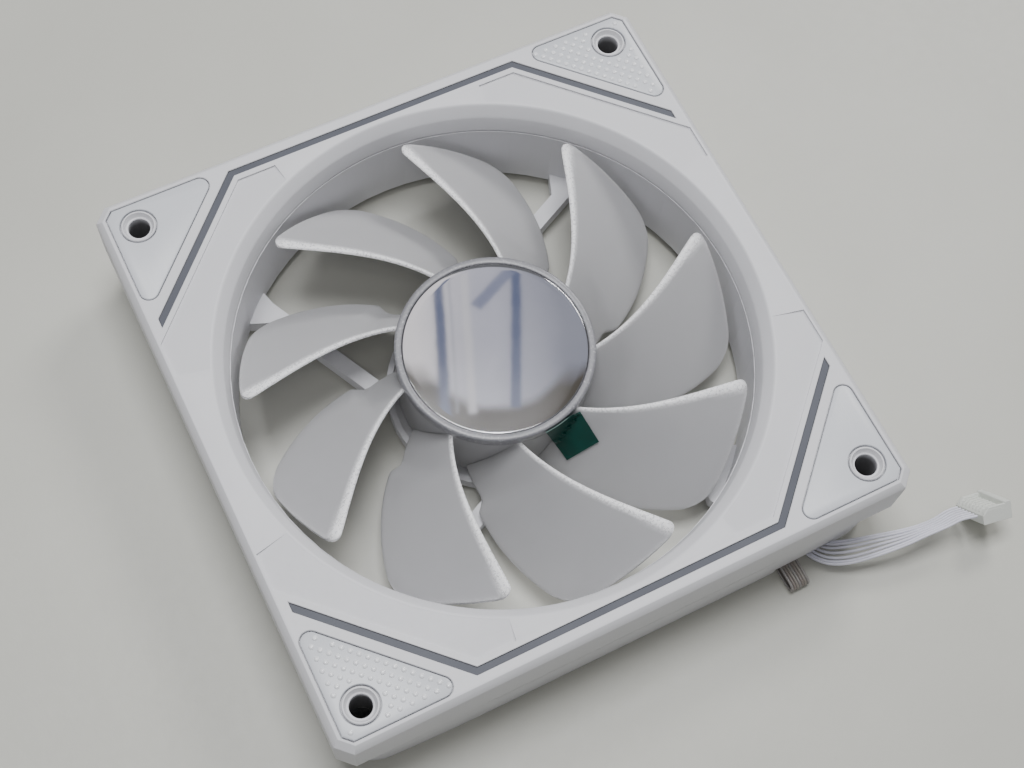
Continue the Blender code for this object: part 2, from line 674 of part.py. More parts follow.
def make_ribbon(name, route, skin, count, across=None, roll=0.0, fan=0.0):
    """A flat strip with bevelled edges, swept along its route; it can roll and widen towards its end."""
    points = smooth_route(route, count)
    thin = WIRE / 2.0
    rings = []
    for i, point in enumerate(points):
        ahead = points[min(i + 1, count - 1)] - points[max(i - 1, 0)]
        side = Vector(across) if across else ahead.cross(Vector((0.0, 0.0, 1.0))).normalized()
        up = side.cross(ahead).normalized()
        t = i / (count - 1)
        angle = math.radians(roll) * ease(t, 0.3, 0.9)
        side, up = side * math.cos(angle) + up * math.sin(angle), up * math.cos(angle) - side * math.sin(angle)
        wide = 0.5 * RIBBON_WIDTH * (1.0 + fan * ease(t, 0.65, 1.0))
        section = [(-wide, -0.4 * thin), (-0.93 * wide, -thin), (0.93 * wide, -thin), (wide, -0.4 * thin),
                   (wide, 0.4 * thin), (0.93 * wide, thin), (-0.93 * wide, thin), (-wide, 0.4 * thin)]
        rings.append([tuple(point + side * u + up * v) for u, v in section])
    return add_object(name, loft(bmesh.new(), rings), skin)


def make_cable():
    wire = material("wire_lavender", (0.62, 0.62, 0.74), 0.45)
    make_ribbon("ribbon_inner", ROUTE_INNER, wire, 11)
    make_ribbon("ribbon_cable", ROUTE_CABLE, wire, 28, roll=54.0, fan=0.9)
    make_ribbon("ribbon_loop", ROUTE_LOOP, material("wire_grey", (0.33, 0.30, 0.29), 0.5), 24,
                (1.0, 0.0, 0.0))
    side_view = [(-3.3, -1.85), (3.3, -1.85), (3.3, 1.85), (1.9, 1.85), (1.7, 0.9), (1.1, 0.9),
                 (0.9, 1.4), (-2.0, 1.4), (-3.3, 0.2)]
    rings = [[(x, y, z) for x, z in side_view] for y in (4.7, -4.7)]
    plug = add_object("connector", loft(bmesh.new(), rings),
                      material("nylon_white", (0.8, 0.82, 0.8), 0.4), PLUG_PLACE)
    plug.rotation_euler = [math.radians(angle) for angle in PLUG_TURN]
    add_object("cable_retainer", prism(bmesh.new(), box_outline(*RETAINER), 0.35, 1.05),
               material("frame_white", WHITE, 0.45))


def clear_scene():
    for found in list(bpy.data.objects):
        bpy.data.objects.remove(found, do_unlink=True)


def main():
    clear_scene()
    make_front_cover()
    make_corner_pads()
    make_foot_pads()
    make_light_strips()
    make_rear_frame()
    make_corner_sticker()
    make_motor()
    make_rotor()
    make_cable()


main()
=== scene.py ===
"""The look of a 120 mm computer case fan: camera, light, detailed pieces and materials."""
import json
import math

import bmesh
import bpy
from mathutils import Matrix, Quaternion, Vector


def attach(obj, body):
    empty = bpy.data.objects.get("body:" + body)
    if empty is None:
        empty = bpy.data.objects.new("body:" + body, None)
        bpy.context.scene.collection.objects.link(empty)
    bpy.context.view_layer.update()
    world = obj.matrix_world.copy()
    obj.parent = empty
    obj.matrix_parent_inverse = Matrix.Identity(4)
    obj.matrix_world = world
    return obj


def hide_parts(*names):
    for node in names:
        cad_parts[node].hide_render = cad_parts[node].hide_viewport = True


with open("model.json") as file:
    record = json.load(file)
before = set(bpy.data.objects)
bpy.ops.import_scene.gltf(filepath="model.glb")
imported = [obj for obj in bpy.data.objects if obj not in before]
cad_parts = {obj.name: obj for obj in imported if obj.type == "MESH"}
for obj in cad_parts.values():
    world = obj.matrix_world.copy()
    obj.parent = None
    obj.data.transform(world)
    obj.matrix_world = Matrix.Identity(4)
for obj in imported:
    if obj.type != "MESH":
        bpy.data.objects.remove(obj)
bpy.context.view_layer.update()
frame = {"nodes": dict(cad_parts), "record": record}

MM = 0.001

# Sizes in millimetres, as in the CAD model
HALF = 59.8
HEIGHT = 25.0
SEAM = 13.0
HOLE_OFFSET = 52.5
HOLE_RADIUS = 2.15
HOLE_SIDES = 48
BOSS_RADIUS = 5.0
BOSS_RING_RADIUS = 3.4
DUCT_TOP = 18.9
COLLAR_RADIUS = 53.4

# A corner pad: its outer edge, its round tips, and its slanting inner side (where x + y is this)
PAD_EDGE = 57.7
PAD_CUT = 1.6
PAD_TIP = 38.37
PAD_TIP_RADIUS = 1.85
PAD_SLANT = 91.6
DOT_PITCH = 2.37
DOT_ROW = 1.2
DOT_MARGIN = 0.55

BLADES = 9
ROOT_RADIUS = 18.3
TIP_RADIUS = 49.8
CUP_OUTER = 19.2
CUP_INNER = 17.4
MIRROR_RADIUS = 17.97

# Places along a blade's chord: where its bead ends, where its thin edge rounds off,
# and where its tip starts to round off at the leading and the trailing side
BEAD_END = 0.07
THIN_EDGE = 0.97
TIP_LEAD = 0.14
TIP_TRAIL = 0.84

WIRES = 7
WIRE_PITCH = 0.6
WIRE_RADIUS = 0.29
ROUTE_INNER = [(18.6, -9.6, 1.7), (22.0, -16.6, 1.7), (26.0, -24.8, 1.7), (30.0, -32.8, 1.7),
               (33.6, -39.6, 1.8), (37.2, -45.0, 1.9), (40.0, -49.0, 2.0)]
ROUTE_CABLE = [(41.2, -50.8, 2.0), (42.2, -54.5, 2.0), (43.0, -58.2, 2.3), (45.0, -60.9, 3.1),
               (48.6, -62.7, 4.2), (53.5, -64.0, 5.2), (59.0, -65.1, 5.9), (63.5, -65.6, 6.2),
               (67.3, -65.8, 6.25), (70.8, -65.65, 6.04), (73.7, -66.06, 5.7)]
ROUTE_LOOP = [(36.4, -49.2, 2.85), (36.4, -53.5, 2.85), (36.5, -58.4, 2.85), (36.6, -62.6, 2.8),
              (36.65, -63.7, 2.45), (36.7, -64.1, 1.6), (36.65, -63.7, 0.75), (36.6, -62.6, 0.4),
              (36.5, -58.4, 0.36), (36.4, -53.5, 0.36), (36.4, -49.2, 0.36)]
PLUG_PLACE = (77.5, -66.6, 5.26)
PLUG_TURN = (-54.0, 6.6, -7.9)


# Camera

def make_camera():
    data = bpy.data.cameras.new("camera")
    data.sensor_width = 36.0
    data.lens = 56.57
    data.clip_start = 0.01
    camera = bpy.data.objects.new("camera", data)
    camera.location = (-0.06951, -0.11138, 0.30646)
    aim = Vector((0.0019, -0.0046, 0.0125))
    level = (aim - camera.location).to_track_quat('-Z', 'Y')
    roll = Quaternion((0.0, 0.0, 1.0), math.radians(7.81))
    camera.rotation_euler = (level @ roll).to_euler()
    bpy.context.scene.collection.objects.link(camera)
    bpy.context.scene.camera = camera


# Node trees

class Tree:
    """A short way to write a material's node tree."""

    def __init__(self, name):
        self.material = bpy.data.materials.new(name)
        self.material.use_nodes = True
        self.tree = self.material.node_tree
        self.shader = self.tree.nodes["Principled BSDF"]

    def add(self, kind, inputs=None, **settings):
        node = self.tree.nodes.new(kind)
        for key, value in settings.items():
            setattr(node, key, value)
        for key, value in (inputs or {}).items():
            self.feed(node.inputs[key], value)
        return node

    def feed(self, socket, value):
        if isinstance(value, bpy.types.NodeSocket):
            self.tree.links.new(value, socket)
        else:
            socket.default_value = value

    def set(self, **inputs):
        for key, value in inputs.items():
            self.feed(self.shader.inputs[key.replace("_", " ")], value)

    def place(self, scale=(1.0, 1.0, 1.0), turn=(0.0, 0.0, 0.0)):
        where = self.add("ShaderNodeTexCoord").outputs["Object"]
        return self.add("ShaderNodeMapping", {"Vector": where, "Scale": scale, "Rotation": turn}).outputs[0]

    def noise(self, scale, detail=3.0, roughness=0.55, vector=None):
        node = self.add("ShaderNodeTexNoise", {"Vector": vector or self.place(), "Scale": scale,
                                              "Detail": detail, "Roughness": roughness})
        return node.outputs["Fac"]

    def spread(self, value, low, high, from_low=0.0, from_high=1.0):
        return self.add("ShaderNodeMapRange", {"Value": value, "From Min": from_low, "From Max": from_high,
                                               "To Min": low, "To Max": high}).outputs[0]

    def math(self, operation, a, b=0.0, clamp=False):
        return self.add("ShaderNodeMath", {0: a, 1: b}, operation=operation, use_clamp=clamp).outputs[0]

    def mix(self, factor, a, b):
        node = self.add("ShaderNodeMix", data_type='RGBA')
        self.feed(node.inputs[0], factor)
        self.feed(node.inputs[6], a)
        self.feed(node.inputs[7], b)
        return node.outputs[2]

    def vary(self, noise, a, b):
        """Go from one colour to another with a noise, across its middle part."""
        return self.mix(self.spread(noise, 0.0, 1.0, 0.3, 0.7), a, b)

    def reach(self, x, y):
        """The length of a flat vector."""
        return self.math('SQRT', self.math('ADD', self.math('MULTIPLY', x, x), self.math('MULTIPLY', y, y)))

    def bump(self, height, distance, strength=1.0):
        inputs = {"Height": height, "Distance": distance, "Strength": strength}
        return self.add("ShaderNodeBump", inputs).outputs[0]


def shade(colour, factor):
    return (*(min(1.0, c * factor) for c in colour), 1.0)


def moulded(name, colour, roughness, grain=0.000012, shade_bores=False):
    """Matte moulded plastic: fine grain, slow colour change, a painted highlight that lightens its edges and
    painted shade that darkens its corners.
    """
    painted_edge_width = 0.06
    t = Tree(name)
    slow = t.noise(38.0, 4.0)
    fine = t.noise(4200.0, 2.0)
    specks = t.noise(900.0, 2.0, 0.7)
    base = t.vary(slow, shade(colour, 0.975), shade(colour, 1.02))
    base = t.mix(t.spread(specks, 0.0, 0.12, 0.62, 0.75), base, shade(colour, 0.8))
    edge = t.add("ShaderNodeNewGeometry").outputs["Pointiness"]
    # Painted highlight: convex edges are made lighter by pointiness.
    base = t.mix(t.spread(edge, 0.0, painted_edge_width, 0.5, 0.62), base, shade(colour, 1.2))
    # Painted shade: hollow corners and creases are made darker by pointiness.
    base = t.mix(t.spread(edge, painted_edge_width * 2.5, 0.0, 0.40, 0.5), base, shade(colour, 0.6))
    if shade_bores:
        # Painted shade: the screw hole walls are darkened in their colour.
        base = t.mix(painted_bore_shade(t), base, shade(colour, 0.3))
    t.set(Base_Color=base, Roughness=t.spread(specks, roughness - 0.05, roughness + 0.07),
          Normal=t.bump(fine, grain))
    t.shader.inputs["Specular IOR Level"].default_value = 0.45
    return t


def painted_bore_shade(t):
    """1 on the walls of the four screw holes, which get painted shade to be darker than the rest, 0
    elsewhere.
    """
    where = t.add("ShaderNodeSeparateXYZ", {"Vector": t.place()}).outputs
    x, y = [t.math('SUBTRACT', t.math('ABSOLUTE', where[k]), HOLE_OFFSET * MM) for k in range(2)]
    near = t.spread(t.reach(x, y), 1.0, 0.0, 2.4 * MM, 2.5 * MM)
    return t.math('MULTIPLY', near, t.spread(where[2], 1.0, 0.0, 22.0 * MM, 24.0 * MM), clamp=True)


def frosted_blades():
    """Frosted translucent plastic, with the leading edges bright and sparkling through a painted highlight
    and a painted glow.
    """
    t = Tree("look_blades")
    body = (0.455, 0.455, 0.468)
    slow = t.noise(60.0, 3.0)
    fine = t.noise(5200.0, 2.0)
    grains = t.noise(2300.0, 3.0, 0.8)
    edge = t.add("ShaderNodeAttribute", attribute_name="bead").outputs["Fac"]
    base = t.vary(slow, shade(body, 0.975), shade(body, 1.02))
    # Painted highlight: grainy near-white glints along the leading edge and the tip.
    painted_glint = t.math('MULTIPLY', edge, t.spread(grains, 0.35, 1.0, 0.38, 0.55), clamp=True)
    base = t.mix(painted_glint, base, (0.98, 0.98, 1.0, 1.0))
    height = t.math('ADD', t.math('MULTIPLY', fine, 0.2), t.math('MULTIPLY', grains, edge))
    t.set(Base_Color=base, Roughness=t.spread(edge, 0.55, 0.22), Normal=t.bump(height, 0.00012))
    # Painted glow: the leading edge glints also give off light, though the blade is no lamp.
    t.set(Emission_Color=base, Emission_Strength=t.spread(painted_glint, 0.0, 0.34))
    t.set(Subsurface_Weight=0.6)
    t.shader.inputs["Subsurface Radius"].default_value = (0.0025, 0.0025, 0.0025)
    t.shader.inputs["Subsurface Scale"].default_value = 1.0
    return t


def clear_ring():
    t = Tree("look_ring")
    colour = (0.235, 0.235, 0.255)
    grains = t.noise(1900.0, 3.0, 0.8)
    around = t.noise(140.0, 2.0)
    base = t.vary(around, shade(colour, 0.92), shade(colour, 1.08))
    base = t.mix(t.spread(grains, 0.0, 0.5, 0.56, 0.72), base, (0.85, 0.85, 0.88, 1.0))
    t.set(Base_Color=base, Roughness=t.spread(grains, 0.22, 0.42), Normal=t.bump(grains, 0.00003))
    t.shader.inputs["Coat Weight"].default_value = 0.35
    t.shader.inputs["Coat Roughness"].default_value = 0.15
    return t


def mirror_look():
    """A plated mirror with a slight haze and dust."""
    t = Tree("look_mirror")
    haze = t.noise(55.0, 4.0)
    dust = t.noise(1400.0, 2.0, 0.9)
    fleck = t.spread(dust, 0.0, 1.0, 0.74, 0.82)
    rough = t.math('ADD', t.spread(haze, 0.03, 0.075), t.math('MULTIPLY', fleck, 0.2))
    base = t.vary(haze, (0.82, 0.82, 0.85, 1.0), (0.88, 0.88, 0.90, 1.0))
    t.set(Base_Color=base, Roughness=rough, Normal=t.bump(haze, 0.00001))
    t.shader.inputs["Metallic"].default_value = 1.0
    return t


def pad_look(name, brushed):
    """Pale satin pad: with fine brushing, or smooth under its raised dots, whose lighter colour is a painted
    highlight.
    """
    t = moulded(name, (0.66, 0.68, 0.72), 0.34, 0.000006)
    if brushed:
        lines = t.noise(1.0, 3.0, 0.6, t.place((300.0, 5200.0, 300.0), (0.0, 0.0, 0.5)))
        t.set(Normal=t.bump(lines, 0.00002, 0.8), Roughness=t.spread(lines, 0.28, 0.44))
    else:
        dot = t.add("ShaderNodeAttribute", attribute_name="dot").outputs["Fac"]
        t.set(Roughness=t.spread(dot, 0.36, 0.13))
        # Painted highlight: the dots are coloured lighter than the pad.
        t.set(Base_Color=t.mix(dot, (0.64, 0.66, 0.70, 1.0), (0.88, 0.89, 0.92, 1.0)))
    t.shader.inputs["Coat Weight"].default_value = 0.25
    t.shader.inputs["Coat Roughness"].default_value = 0.25
    return t


def strip_look():
    """Smoked diffuser: slate grey, nearly smooth, with a slow change along it."""
    t = Tree("look_strip")
    slow = t.noise(70.0, 2.0)
    fine = t.noise(3000.0, 2.0)
    base = t.vary(slow, (0.088, 0.094, 0.116, 1.0), (0.105, 0.112, 0.136, 1.0))
    t.set(Base_Color=base, Roughness=t.spread(fine, 0.46, 0.56), Normal=t.bump(fine, 0.000006))
    t.shader.inputs["Specular IOR Level"].default_value = 0.3
    return t


def film_look(name, colour, roughness):
    t = Tree(name)
    slow = t.noise(240.0, 3.0)
    fine = t.noise(2600.0, 2.0)
    base = t.vary(slow, shade(colour, 0.85), shade(colour, 1.2))
    t.set(Base_Color=base, Roughness=t.spread(fine, roughness - 0.06, roughness + 0.08),
          Normal=t.bump(slow, 0.00003))
    return t


def metal_look(name, colour, roughness):
    """Machined metal, with fine lines across its height."""
    t = Tree(name)
    lines = t.noise(1.0, 3.0, 0.6, t.place((60.0, 60.0, 4000.0)))
    base = t.mix(t.spread(lines, 0.0, 1.0, 0.35, 0.65), shade(colour, 0.85), shade(colour, 1.12))
    t.set(Base_Color=base, Roughness=t.spread(lines, roughness - 0.08, roughness + 0.1),
          Normal=t.bump(lines, 0.00001))
    t.shader.inputs["Metallic"].default_value = 1.0
    return t


def winding_look():
    t = Tree("look_winding")
    turns = t.add("ShaderNodeTexWave", {"Vector": t.place(), "Scale": 900.0, "Distortion": 0.3},
                  bands_direction='Z').outputs["Fac"]
    base = t.mix(turns, (0.30, 0.12, 0.05, 1.0), (0.80, 0.40, 0.20, 1.0))
    t.set(Base_Color=base, Roughness=t.spread(turns, 0.45, 0.28), Normal=t.bump(turns, 0.0001))
    t.shader.inputs["Metallic"].default_value = 1.0
    return t


def wire_look(name, colour):
    t = Tree(name)
    slow = t.noise(160.0, 3.0)
    fine = t.noise(2400.0, 2.0)
    base = t.vary(slow, shade(colour, 0.9), shade(colour, 1.08))
    t.set(Base_Color=base, Roughness=t.spread(fine, 0.28, 0.42), Normal=t.bump(fine, 0.00001))
    t.set(Subsurface_Weight=0.1)
    t.shader.inputs["Subsurface Radius"].default_value = (0.0006, 0.0006, 0.0007)
    t.shader.inputs["Subsurface Scale"].default_value = 1.0
    return t


def make_looks():
    white = (0.745, 0.745, 0.775)
    looks = {
        "cover_white": moulded("look_cover", white, 0.46, shade_bores=True),
        "frame_white": moulded("look_frame", white, 0.48, shade_bores=True),
        "pad_grey": pad_look("look_pad_brushed", True),
        "pad_dots": pad_look("look_pad_dotted", False),
        "foot_rubber": moulded("look_foot", (0.36, 0.37, 0.39), 0.75, 0.00003),
        "strip_slate": strip_look(),
        "board_green": film_look("look_board", (0.01, 0.10, 0.05), 0.4),
        "sticker_green": film_look("look_sticker", (0.0, 0.052, 0.040), 0.42),
        "label_silver": film_look("look_label", (0.62, 0.62, 0.64), 0.38),
        "motor_steel": metal_look("look_steel", (0.55, 0.56, 0.58), 0.34),
        "bronze": metal_look("look_bronze", (0.60, 0.42, 0.22), 0.42),
        "insulator_white": moulded("look_insulator", (0.70, 0.69, 0.64), 0.5),
        "coil_copper": winding_look(),
        "ferrite": moulded("look_ferrite", (0.08, 0.08, 0.085), 0.6, 0.00003),
        "blade_frosted": frosted_blades(),
        "ring_clear": clear_ring(),
        "mirror": mirror_look(),
        "wire_lavender": wire_look("look_wire", (0.70, 0.70, 0.79)),
        # Painted shade and painted reflection: a dark warm grey for wires in the fan's shadow.
        "wire_grey": wire_look("look_wire_painted_shade", (0.30, 0.27, 0.25)),
        "nylon_white": moulded("look_nylon", (0.70, 0.72, 0.68), 0.4, 0.000008),
    }
    return {name: tree.material for name, tree in looks.items()}


def dress_frame(looks):
    """Give every carried-over node the finish of its slot."""
    slots = {part["node"]: part["material_slot"] for part in frame["record"]["subparts"]}
    for node, obj in frame["nodes"].items():
        obj.data.materials.clear()
        obj.data.materials.append(looks[slots[node]])


# Meshes, built in millimetres

def add_piece(name, bm, body, skin, nodes=(), sharp=35.0):
    """Turn a bmesh in millimetres into a piece that rides on a body and stands for CAD nodes."""
    piece = new_object(name, bm, sharp)
    piece.data.materials.append(skin)
    settle(piece, body, nodes)


def new_object(name, bm, sharp=35.0):
    bmesh.ops.remove_doubles(bm, verts=bm.verts, dist=1e-5)
    bmesh.ops.recalc_face_normals(bm, faces=bm.faces)
    bmesh.ops.scale(bm, vec=(MM, MM, MM), verts=bm.verts)
    mesh = bpy.data.meshes.new(name)
    bm.to_mesh(mesh)
    bm.free()
    mesh.shade_smooth()
    mesh.set_sharp_from_angle(angle=math.radians(sharp))
    piece = bpy.data.objects.new(name, mesh)
    bpy.context.scene.collection.objects.link(piece)
    return piece


def in_millimetres(mesh):
    """A bmesh of a finished mesh, back in millimetres."""
    bm = bmesh.new()
    bm.from_mesh(mesh)
    bmesh.ops.scale(bm, vec=(1.0 / MM,) * 3, verts=bm.verts)
    return bm


def settle(piece, body, nodes=()):
    """Give a piece its body, and hide the CAD nodes that it stands for."""
    bpy.context.view_layer.update()
    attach(piece, body)
    if nodes:
        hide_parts(*nodes)


def cut(target, tools):
    """Cut each (bmesh) tool out of an object by an exact Boolean, and drop the tools."""
    for bm in tools:
        tool = new_object("tool", bm)
        modifier = target.modifiers.new("cut", 'BOOLEAN')
        modifier.operation = 'DIFFERENCE'
        modifier.object = tool
        modifier.solver = 'EXACT'
        bake(target)
        bpy.data.objects.remove(tool, do_unlink=True)


def bake(target):
    """Replace an object's mesh by what its modifiers make of it."""
    graph = bpy.context.evaluated_depsgraph_get()
    made = bpy.data.meshes.new_from_object(target.evaluated_get(graph))
    old = target.data
    target.modifiers.clear()
    target.data = made
    bpy.data.meshes.remove(old)


def resharpen(piece, angle):
    piece.data.shade_smooth()
    piece.data.set_sharp_from_angle(angle=math.radians(angle))


def loft(bm, rings):
    """Join rings of points into a closed solid."""
    rows = [[bm.verts.new(point) for point in ring] for ring in rings]
    count = len(rows[0])
    for low, high in zip(rows, rows[1:]):
        for i in range(count):
            j = (i + 1) % count
            bm.faces.new((low[i], low[j], high[j], high[i]))
    bm.faces.new(list(reversed(rows[0])))
    bm.faces.new(rows[-1])
    return bm


def prism(bm, outline, low, high):
    return loft(bm, [[(x, y, low) for x, y in outline], [(x, y, high) for x, y in outline]])


def stack(bm, levels):
    """Loft outlines given as (outline, height)."""
    return loft(bm, [[(x, y, height) for x, y in outline] for outline, height in levels])


def cylinder(bm, radius, low, high, centre=(0.0, 0.0), segments=48):
    return prism(bm, circle(radius, segments, centre), low, high)


def circle(radius, segments, centre=(0.0, 0.0)):
    return arc(centre, radius, 0.0, 360.0, segments)[:-1]


def lathe(bm, profile, segments=144):
    """Turn a closed (radius, height) loop about the Z axis; radius 0 lies on the axis."""
    columns = []
    for radius, height in profile:
        if radius == 0.0:
            columns.append([bm.verts.new((0.0, 0.0, height))] * segments)
        else:
            columns.append([bm.verts.new((x, y, height)) for x, y in circle(radius, segments)])
    for a, b in zip(columns, columns[1:] + columns[:1]):
        for i in range(segments):
            j = (i + 1) % segments
            corners = list(dict.fromkeys((a[i], a[j], b[j], b[i])))
            if len(corners) > 2:
                bm.faces.new(corners)
    return bm


def arc(centre, radius, start, end, steps):
    points = []
    for i in range(steps + 1):
        angle = math.radians(start + (end - start) * i / steps)
        points.append((centre[0] + radius * math.cos(angle), centre[1] + radius * math.sin(angle)))
    return points


def turned(points, degrees):
    turn = Matrix.Rotation(math.radians(degrees), 2)
    return [tuple(turn @ Vector(point)) for point in points]


def moved(points, centre):
    return [(x + centre[0], y + centre[1]) for x, y in points]


def corners():
    """The four screw hole centres with the turn of each, counterclockwise from upper right."""
    return [(turned([(HOLE_OFFSET, HOLE_OFFSET)], 90.0 * k)[0], 90.0 * k) for k in range(4)]


# Outlines

def cut_square(half, cut_length):
    """A square with its four corners cut off."""
    side = [(half, half - cut_length), (half - cut_length, half)]
    points = []
    for k in range(4):
        points += turned(side, 90.0 * k)
    return points


def pad_outline(grow=0.0):
    """A corner pad about its screw hole: a triangle with round tips and a cut outer corner."""
    far = PAD_EDGE - PAD_TIP_RADIUS
    out = PAD_EDGE + grow
    points = arc((far, PAD_TIP), PAD_TIP_RADIUS + grow, -135.0, 0.0, 12)
    points += [(out, out - PAD_CUT), (out - PAD_CUT, out)]
    points += arc((PAD_TIP, far), PAD_TIP_RADIUS + grow, 90.0, 225.0, 12)
    return moved(points, (-HOLE_OFFSET, -HOLE_OFFSET))


def strip_outline(grow=0.0):
    """The light strip along one side: a straight run with a slanting arm at each end."""
    end = 56.4 + grow
    high, low = 56.6 + grow, 55.4 - grow
    outer, inner = 88.4 + grow * math.sqrt(2.0), 86.6 - grow * math.sqrt(2.0)
    return [(-end, outer - end), (-end, inner - end), (low - inner, low), (inner - low, low),
            (end, inner - end), (end, outer - end), (outer - high, high), (high - outer, high)]


# Front cover

def make_cover(looks):
    """The square trim: a hollow shell with the duct's mouth, strip slots, pad pockets, screw holes and
    corner recesses cut out of it."""
    outside = [(HALF - 0.25, 2.8, SEAM + 0.2), (HALF, 2.8, SEAM + 0.45), (HALF, 2.8, HEIGHT - 1.4),
               (HALF - 0.1, 2.75, HEIGHT - 1.15), (HALF - 1.05, 2.4, HEIGHT - 0.22),
               (HALF - 1.25, 2.3, HEIGHT - 0.06), (HALF - 1.55, 2.2, HEIGHT)]
    bm = stack(bmesh.new(), [(cut_square(half, corner), height) for half, corner, height in outside])
    cover = new_object("cover_shell", bm)

    inside = new_object("inside", prism(bmesh.new(), cut_square(HALF - 1.4, 3.4), 10.0, 22.8))
    bosses = bmesh.new()
    for centre, _ in corners():
        cylinder(bosses, BOSS_RADIUS, 8.0, 24.0, centre)
    cut(inside, [cylinder(bmesh.new(), COLLAR_RADIUS, DUCT_TOP + 0.3, 24.0, segments=180), bosses])

    mouth = [(0.0, 10.0), (51.5, 10.0), (51.5, 19.35), (51.55, 19.6), (52.25, 22.45), (52.4, 22.75),
             (52.6, 23.0), (53.95, 24.66), (54.2, 24.88), (54.5, HEIGHT), (54.9, HEIGHT + 1.0),
             (0.0, HEIGHT + 1.0)]
    slots = bmesh.new()
    for k in range(2):
        levels = ((0.1, 20.0), (0.1, HEIGHT - 0.1), (0.2, HEIGHT), (0.2, HEIGHT + 1.0))
        stack(slots, [(turned(strip_outline(grow), 180.0 * k), height) for grow, height in levels])
    pockets = bmesh.new()
    for centre, turn in corners():
        levels = ((0.22, HEIGHT - 1.1), (0.22, HEIGHT - 0.12), (0.34, HEIGHT), (0.34, HEIGHT + 1.0))
        stack(pockets, [(moved(turned(pad_outline(grow), turn), centre), height)
                        for grow, height in levels])
    pocket_tool = new_object("pockets", pockets)
    rings = bmesh.new()
    for centre, _ in corners():
        levels = ((BOSS_RING_RADIUS, 20.0), (BOSS_RING_RADIUS, HEIGHT - 0.15), (3.25, HEIGHT), (3.25, 27.0))
        stack(rings, [(circle(radius, HOLE_SIDES, centre), height) for radius, height in levels])
    cut(pocket_tool, [rings])
    holes = bmesh.new()
    for centre, _ in corners():
        levels = ((HOLE_RADIUS, 10.0), (HOLE_RADIUS, 23.9), (2.25, 24.05), (2.5, 24.1), (2.62, 24.2),
                  (2.95, 24.85), (3.05, HEIGHT), (3.05, 26.5))
        stack(holes, [(circle(radius, HOLE_SIDES, centre), height) for radius, height in levels])
    recesses = bmesh.new()
    for k in range(4):
        add_recess(recesses, 90.0 * k)

    for tool in (inside, pocket_tool):
        bm = in_millimetres(tool.data)
        bpy.data.objects.remove(tool, do_unlink=True)
        cut(cover, [bm])
    cut(cover, [lathe(bmesh.new(), mouth, 180), slots, holes, recesses])
    resharpen(cover, 24.0)
    cover.data.materials.clear()
    cover.data.materials.append(looks["cover_white"])
    settle(cover, "frame", ["front_cover"])


def add_recess(bm, turn):
    """A shallow corner recess, deepest at its outer edge and fading out at the duct's mouth."""
    depth = 0.42
    outer = [(22.8, 54.1), (26.8, 54.1), (30.8, 54.1)]
    for i in range(1, 6):
        outer.append((30.8 + 27.3 * i / 6, 54.1 - 27.3 * i / 6))
    outer += [(58.1, 26.8), (58.1, 23.1), (58.1, 19.4)]
    if round(turn) % 180:
        outer = [(y, x) for x, y in reversed(outer)]
    first = math.degrees(math.atan2(outer[0][1] - 2.6, outer[0][0]))
    last = math.degrees(math.atan2(outer[-1][1], outer[-1][0] - 2.6))
    inner = arc((0.0, 0.0), 54.7, first, last, len(outer) - 1)
    outer, inner = turned(outer, turn), turned(inner, turn)
    rings = []
    for (xo, yo), (xi, yi) in zip(outer, inner):
        rings.append([(xo, yo, HEIGHT - depth), (xi, yi, HEIGHT - 0.03), (xi, yi, HEIGHT + 0.8),
                      (xo, yo, HEIGHT + 0.8)])
    loft(bm, rings)


def inside_pad(x, y, margin):
    """Whether a point, measured from the screw hole, lies on a pad and clear of its eye."""
    if math.hypot(x, y) < BOSS_RING_RADIUS + 0.3 + margin:
        return False
    px, py = x + HOLE_OFFSET, y + HOLE_OFFSET
    if max(px, py) > PAD_EDGE - margin or px + py < PAD_SLANT + margin * 1.4:
        return False
    if px + py > 2.0 * PAD_EDGE - PAD_CUT - margin * 1.4:
        return False
    far = PAD_EDGE - PAD_TIP_RADIUS
    for along, across in ((px, py), (py, px)):
        if along < PAD_TIP + 1.0 and math.hypot(along - PAD_TIP, across - far) > PAD_TIP_RADIUS - margin:
            return False
    return True


def make_pads(looks):
    """The four corner pads: the upper right and lower left carry dots, the other two are brushed."""
    for number, (centre, turn) in enumerate(corners(), start=1):
        levels = ((0.0, HEIGHT - 0.8), (0.0, HEIGHT - 0.16), (-0.1, HEIGHT - 0.04), (-0.22, HEIGHT))
        bm = stack(bmesh.new(), [(pad_outline(grow), height) for grow, height in levels])
        pad = new_object(f"pad_{number}", bm)
        eye = ((3.7, 20.0), (3.7, HEIGHT - 0.12), (3.82, HEIGHT), (3.82, 27.0))
        cut(pad, [stack(bmesh.new(), [(circle(radius, HOLE_SIDES), height) for radius, height in eye])])
        dotted = number in (1, 3)
        if dotted:
            bm = in_millimetres(pad.data)
            plain = len(bm.verts)
            dot = bm.verts.layers.float.new("dot")
            add_dots(bm, turn)
            bm.verts.ensure_lookup_table()
            for vert in bm.verts[plain:]:
                vert[dot] = 1.0
            bmesh.ops.scale(bm, vec=(MM,) * 3, verts=bm.verts)
            bm.to_mesh(pad.data)
            bm.free()
        resharpen(pad, 30.0)
        pad.location = Vector((*centre, 0.0)) * MM
        pad.rotation_euler = (0.0, 0.0, math.radians(turn))
        pad.data.materials.clear()
        pad.data.materials.append(looks["pad_dots" if dotted else "pad_grey"])
        settle(pad, "frame", [f"corner_pad_{number}"])


